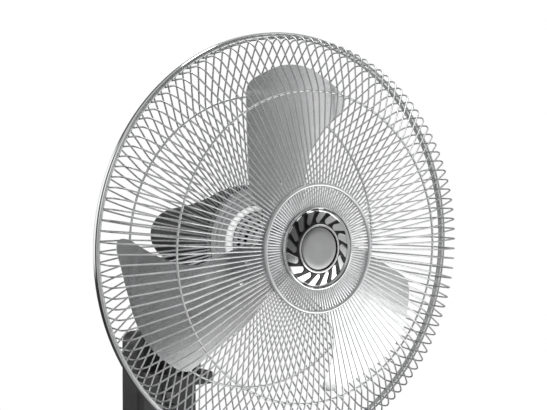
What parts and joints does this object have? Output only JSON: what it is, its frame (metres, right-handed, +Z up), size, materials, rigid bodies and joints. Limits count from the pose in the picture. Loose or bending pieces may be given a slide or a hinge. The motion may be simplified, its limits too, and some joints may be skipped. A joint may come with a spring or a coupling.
{
  "type": "wall fan",
  "caption": "Wall-mounted fan with a chrome wire guard, metal blades, tilting and swinging motor head, fork arm and a black wall base with speed knob.",
  "frame": {"origin": "centre of the wall plate's back face, on the wall", "axes": "+Z up along the wall, +Y into the wall, the fan blows towards -Y, +X to the right seen from the front"},
  "size_m": [0.476, 0.3594, 0.5335],
  "materials": {
    "zinc_steel": "zinc plated",
    "black_plastic": "fine moulded texture",
    "black_paint": "satin powder coat",
    "switch_plastic": "moulded",
    "black_rubber": "matte",
    "bronze": "sintered",
    "shield_paint": "light grey satin paint",
    "cast_alloy": "as cast",
    "charcoal_plastic": "fine moulded texture",
    "electrical_steel": "laminated",
    "copper": "enamelled",
    "chrome_wire": "bright plated wire",
    "chrome_band": "bright plated strip",
    "guard_nut_grey": "moulded light grey",
    "badge_chrome": "plated",
    "badge_gunmetal": "dark metallic",
    "badge_satin": "satin",
    "blade_aluminium": "satin rolled sheet",
    "spider_steel": "pressed",
    "spinner_chrome": "plated"
  },
  "bodies": {
    "base": {"wall_plate": "zinc_steel", "base_housing": "black_plastic", "base_arm": "black_paint", "arm_bolts": "zinc_steel", "housing_screws": "zinc_steel", "speed_switch": "switch_plastic", "switch_nut": "zinc_steel", "swing_switch": "black_plastic", "terminal_block": "switch_plastic", "run_capacitor": "switch_plastic", "cable_gland": "black_rubber", "tilt_bolt": "zinc_steel"},
    "tilt_clamp": {"tilt_knob": "black_plastic"},
    "speed_control": {"speed_knob": "black_plastic"},
    "swing_control": {"swing_rocker": "switch_plastic"},
    "neck": {"neck_bracket": "black_paint", "swivel_bush": "bronze", "thrust_washer": "zinc_steel", "swivel_set_screw": "zinc_steel", "link_pin": "zinc_steel"},
    "link": {"link_rod": "zinc_steel"},
    "head": {"swing_housing": "black_plastic", "swivel_pin": "zinc_steel", "swing_motor": "switch_plastic", "foot_screws": "zinc_steel", "motor_front_shield": "shield_paint", "motor_rear_shield": "cast_alloy", "motor_rear_cover": "charcoal_plastic", "cover_screws": "zinc_steel", "stator_core": "electrical_steel", "stator_windings": "copper", "front_bearing": "zinc_steel", "rear_bearing": "zinc_steel", "through_bolts": "zinc_steel", "rear_guard_wires": "chrome_wire", "rear_guard_rings": "chrome_wire", "rear_guard_plate": "zinc_steel", "guard_nut": "guard_nut_grey", "front_guard_wires": "chrome_wire", "front_guard_rings": "chrome_wire", "guard_centre_plate": "zinc_steel", "clamp_band": "chrome_band", "band_screw": "zinc_steel", "band_nut": "zinc_steel", "badge_dish": "badge_chrome", "badge_vane_ring": "badge_gunmetal", "badge_disc": "badge_satin", "badge_screws": "zinc_steel"},
    "crank": {"swing_crank": "zinc_steel"},
    "rotor": {"motor_shaft": "zinc_steel", "rotor_core": "electrical_steel", "rotor_cage": "cast_alloy", "hub_boss": "cast_alloy", "spinner_cap": "spinner_chrome", "blade_spider": "spider_steel", "fan_blade_top": "blade_aluminium", "fan_blade_left": "blade_aluminium", "fan_blade_right": "blade_aluminium", "blade_rivets": "blade_aluminium"}
  },
  "joints": [
    {"name": "head_tilt", "type": "hinge", "parent": "base", "child": "neck", "pos_m": [0, -0.071, 0.104], "axis": [1, 0, 0], "range_deg": [-10, 30]},
    {"name": "head_swing", "type": "hinge", "parent": "neck", "child": "head", "pos_m": [0, -0.071, 0.207], "axis": [0, 0, 1], "range_deg": [-35, 35]},
    {"name": "link_swing", "type": "hinge", "parent": "neck", "child": "link", "pos_m": [-0.02, -0.071, 0.14], "axis": [0, 0, 1], "range_deg": [-27, 27]},
    {"name": "crank_turn", "type": "hinge", "parent": "head", "child": "crank", "pos_m": [-0.02, -0.103, 0.148], "axis": [0, 0, 1], "continuous": true},
    {"name": "blade_spin", "type": "hinge", "parent": "head", "child": "rotor", "pos_m": [0, -0.283, 0.207], "axis": [0, 1, 0], "continuous": true},
    {"name": "speed_turn", "type": "hinge", "parent": "base", "child": "speed_control", "pos_m": [0, -0.055, -0.04], "axis": [0, 1, 0], "range_deg": [0, 135]},
    {"name": "swing_rock", "type": "hinge", "parent": "base", "child": "swing_control", "pos_m": [0, -0.0385, 0.005], "axis": [1, 0, 0], "range_deg": [-8, 8]},
    {"name": "tilt_clamp_turn", "type": "hinge", "parent": "base", "child": "tilt_clamp", "pos_m": [0.029, -0.071, 0.104], "axis": [1, 0, 0], "range_deg": [0, 360]}
  ],
  "couplings": [
    {"joint": "link_swing", "follows": "head_swing", "ratio": 0.75}
  ]
}
